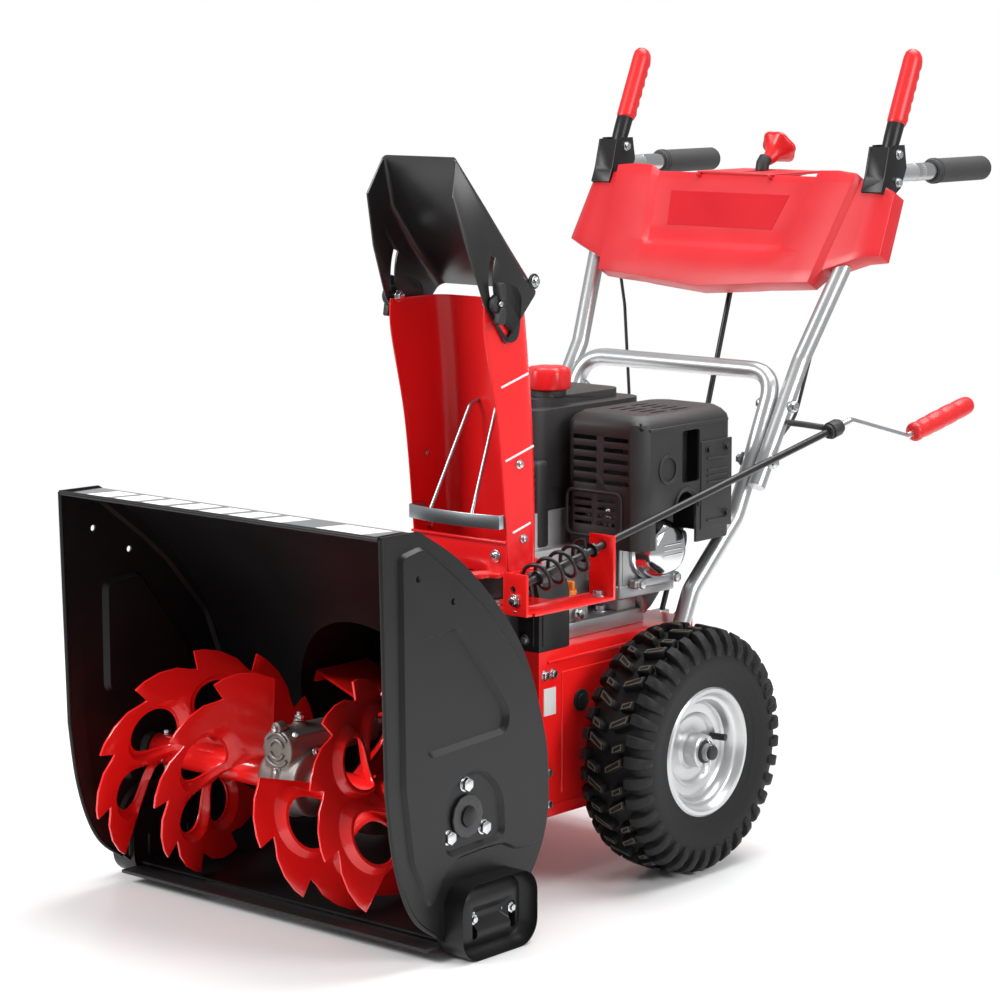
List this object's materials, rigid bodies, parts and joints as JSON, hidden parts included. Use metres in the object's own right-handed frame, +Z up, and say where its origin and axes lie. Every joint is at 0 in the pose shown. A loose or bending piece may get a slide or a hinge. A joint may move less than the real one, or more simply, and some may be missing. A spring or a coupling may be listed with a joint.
{
  "type": "two stage snow blower",
  "caption": "Walk-behind snow blower: auger housing, impeller with turning chute and deflector, engine, wheels and handlebar controls.",
  "frame": {"origin": "on the ground under the middle of the machine's box", "axes": "+Z up, -Y the way the machine drives and throws, +X the operator's left"},
  "size_m": [0.602, 1.323, 1.0762],
  "materials": {
    "black_coat": "satin black powder coat",
    "red_coat": "gloss red powder coat",
    "bright_steel": "zinc plated steel",
    "silver_tube": "satin silver paint",
    "cast_alloy": "as-cast alloy",
    "cast_iron": "dark cast iron",
    "black_plastic": "fine textured black",
    "red_plastic": "satin gloss red",
    "knob_plastic": "satin",
    "tyre_rubber": "matt black rubber",
    "soft_rubber": "matt rubber"
  },
  "bodies": {
    "chassis": {"auger_housing": "black_coat", "side_plate_left": "black_coat", "side_plate_right": "black_coat", "scraper_bar": "bright_steel", "impeller_housing": "black_coat", "auger_gear_case": "cast_alloy", "auger_bearing_left": "cast_iron", "auger_bearing_right": "cast_iron", "frame_case": "red_coat", "bottom_cover": "red_coat", "belt_cover": "black_plastic", "auger_belt": "soft_rubber", "chute_bracket": "red_coat", "crank_guide": "black_plastic", "engine_block": "cast_alloy", "valve_cover": "cast_alloy", "engine_cover": "black_plastic", "recoil_starter": "black_plastic", "fuel_tank": "black_plastic", "muffler": "bright_steel", "lower_handle": "silver_tube", "upright_left": "silver_tube", "upright_right": "silver_tube", "grip_left": "soft_rubber", "grip_right": "soft_rubber", "lever_bracket_left": "black_coat", "lever_bracket_right": "black_coat", "dashboard": "red_plastic", "clutch_cable_left": "soft_rubber", "clutch_cable_right": "soft_rubber"},
    "auger": {"auger_shaft": "bright_steel", "worm_wheel": "cast_iron", "auger_left": "red_coat", "auger_right": "red_coat"},
    "impeller_rotor": {"impeller": "red_coat", "impeller_shaft": "bright_steel", "impeller_pulley": "cast_iron"},
    "engine_crank": {"crankshaft": "bright_steel"},
    "disc": {"drive_disc": "bright_steel"},
    "friction_drive": {"friction_wheel": "soft_rubber"},
    "wheels": {"wheel_axle": "bright_steel", "tyre_left": "tyre_rubber", "tyre_right": "tyre_rubber", "rim_left": "silver_tube", "rim_right": "silver_tube"},
    "chute_body": {"chute": "red_plastic", "chute_guard": "bright_steel"},
    "hood": {"chute_deflector": "black_plastic"},
    "knob_left": {"wing_knob_left": "black_plastic"},
    "knob_right": {"wing_knob_right": "black_plastic"},
    "crank_rod": {"chute_crank": "bright_steel"},
    "crank_handle": {"crank_grip": "red_plastic"},
    "lever_left": {"clutch_lever_left": "red_plastic"},
    "lever_right": {"clutch_lever_right": "red_plastic"},
    "shifter": {"shift_lever": "knob_plastic"},
    "shifter_rod": {"shift_rod": "bright_steel"},
    "shoe_left": {"skid_shoe_left": "black_coat"},
    "shoe_right": {"skid_shoe_right": "black_coat"},
    "cap": {"fuel_cap": "red_plastic"},
    "pull_handle": {"starter_handle": "soft_rubber"}
  },
  "joints": [
    {"name": "auger_spin", "type": "hinge", "parent": "chassis", "child": "auger", "pos_m": [-0.00063, -0.5145, 0.172], "axis": [1, 0, 0], "continuous": true},
    {"name": "impeller_spin", "type": "hinge", "parent": "chassis", "child": "impeller_rotor", "pos_m": [-0.00063, -0.2985, 0.217], "axis": [0, 1, 0], "continuous": true},
    {"name": "engine_spin", "type": "hinge", "parent": "chassis", "child": "engine_crank", "pos_m": [-0.00063, -0.1925, 0.378], "axis": [0, 1, 0], "continuous": true},
    {"name": "wheel_spin", "type": "hinge", "parent": "chassis", "child": "wheels", "pos_m": [-0.00063, -0.0425, 0.165], "axis": [1, 0, 0], "continuous": true},
    {"name": "friction_wheel_spin", "type": "hinge", "parent": "chassis", "child": "friction_drive", "pos_m": [-0.00063, -0.1005, 0.232], "axis": [1, 0, 0], "continuous": true},
    {"name": "drive_disc_spin", "type": "hinge", "parent": "chassis", "child": "disc", "pos_m": [-0.00063, -0.1625, 0.232], "axis": [0, 1, 0], "continuous": true},
    {"name": "crank_turn", "type": "hinge", "parent": "chassis", "child": "crank_rod", "pos_m": [0.21537, -0.2655, 0.434], "axis": [0.0834, 0.97, 0.2284], "range_deg": [-2280, 2280]},
    {"name": "chute_turn", "type": "hinge", "parent": "chassis", "child": "chute_body", "pos_m": [0.09937, -0.2965, 0.428], "axis": [0, 0, 1], "range_deg": [-95.5, 95.5]},
    {"name": "crank_grip_spin", "type": "hinge", "parent": "crank_rod", "child": "crank_handle", "pos_m": [0.27507, 0.42888, 0.53488], "axis": [0.0834, 0.97, 0.2284], "continuous": true},
    {"name": "deflector_tilt", "type": "hinge", "parent": "chute_body", "child": "hood", "pos_m": [0.09937, -0.2685, 0.8], "axis": [1, 0, 0], "range_deg": [-28, 19]},
    {"name": "wing_knob_left_turn", "type": "hinge", "parent": "chute_body", "child": "knob_left", "pos_m": [0.19137, -0.35189, 0.7719], "axis": [1, 0, 0], "range_deg": [-170, 170]},
    {"name": "wing_knob_right_turn", "type": "hinge", "parent": "chute_body", "child": "knob_right", "pos_m": [0.00737, -0.35189, 0.7719], "axis": [1, 0, 0], "range_deg": [-170, 170]},
    {"name": "auger_lever_squeeze", "type": "hinge", "parent": "chassis", "child": "lever_left", "pos_m": [0.24237, 0.4195, 0.931], "axis": [-1, 0, 0], "range_deg": [0, 58], "stiffness_Nm_per_rad": 0.9, "springref_deg": -22.92},
    {"name": "drive_lever_squeeze", "type": "hinge", "parent": "chassis", "child": "lever_right", "pos_m": [-0.24363, 0.4195, 0.931], "axis": [-1, 0, 0], "range_deg": [0, 58], "stiffness_Nm_per_rad": 0.9, "springref_deg": -22.92},
    {"name": "shift_lever_tilt", "type": "hinge", "parent": "chassis", "child": "shifter", "pos_m": [-0.00063, 0.4315, 0.748], "axis": [1, 0, 0], "range_deg": [-8, 8]},
    {"name": "shift_rod_slide", "type": "slide", "parent": "chassis", "child": "shifter_rod", "axis": [0, 0.3094, 0.9509], "range_m": [-0.006, 0.006]},
    {"name": "skid_left_height", "type": "slide", "parent": "chassis", "child": "shoe_left", "axis": [0, 0, 1], "range_m": [0, 0.012]},
    {"name": "skid_right_height", "type": "slide", "parent": "chassis", "child": "shoe_right", "axis": [0, 0, 1], "range_m": [0, 0.012]},
    {"name": "fuel_cap_twist", "type": "hinge", "parent": "chassis", "child": "cap", "pos_m": [0.01937, -0.0525, 0.64], "axis": [0, 0, 1], "range_deg": [0, 90]},
    {"name": "starter_pull", "type": "slide", "parent": "chassis", "child": "pull_handle", "axis": [0, 1, 0], "range_m": [0, 0.4], "stiffness_N_per_m": 25, "springref_m": -0.15}
  ],
  "couplings": [
    {"joint": "impeller_spin", "follows": "auger_spin", "ratio": 10},
    {"joint": "friction_wheel_spin", "follows": "wheel_spin", "ratio": -3.8333},
    {"joint": "drive_disc_spin", "follows": "wheel_spin", "ratio": -6.215},
    {"joint": "chute_turn", "follows": "crank_turn", "ratio": 0.041667},
    {"joint": "shift_rod_slide", "follows": "shift_lever_tilt", "m_per_rad": -0.0393}
  ]
}
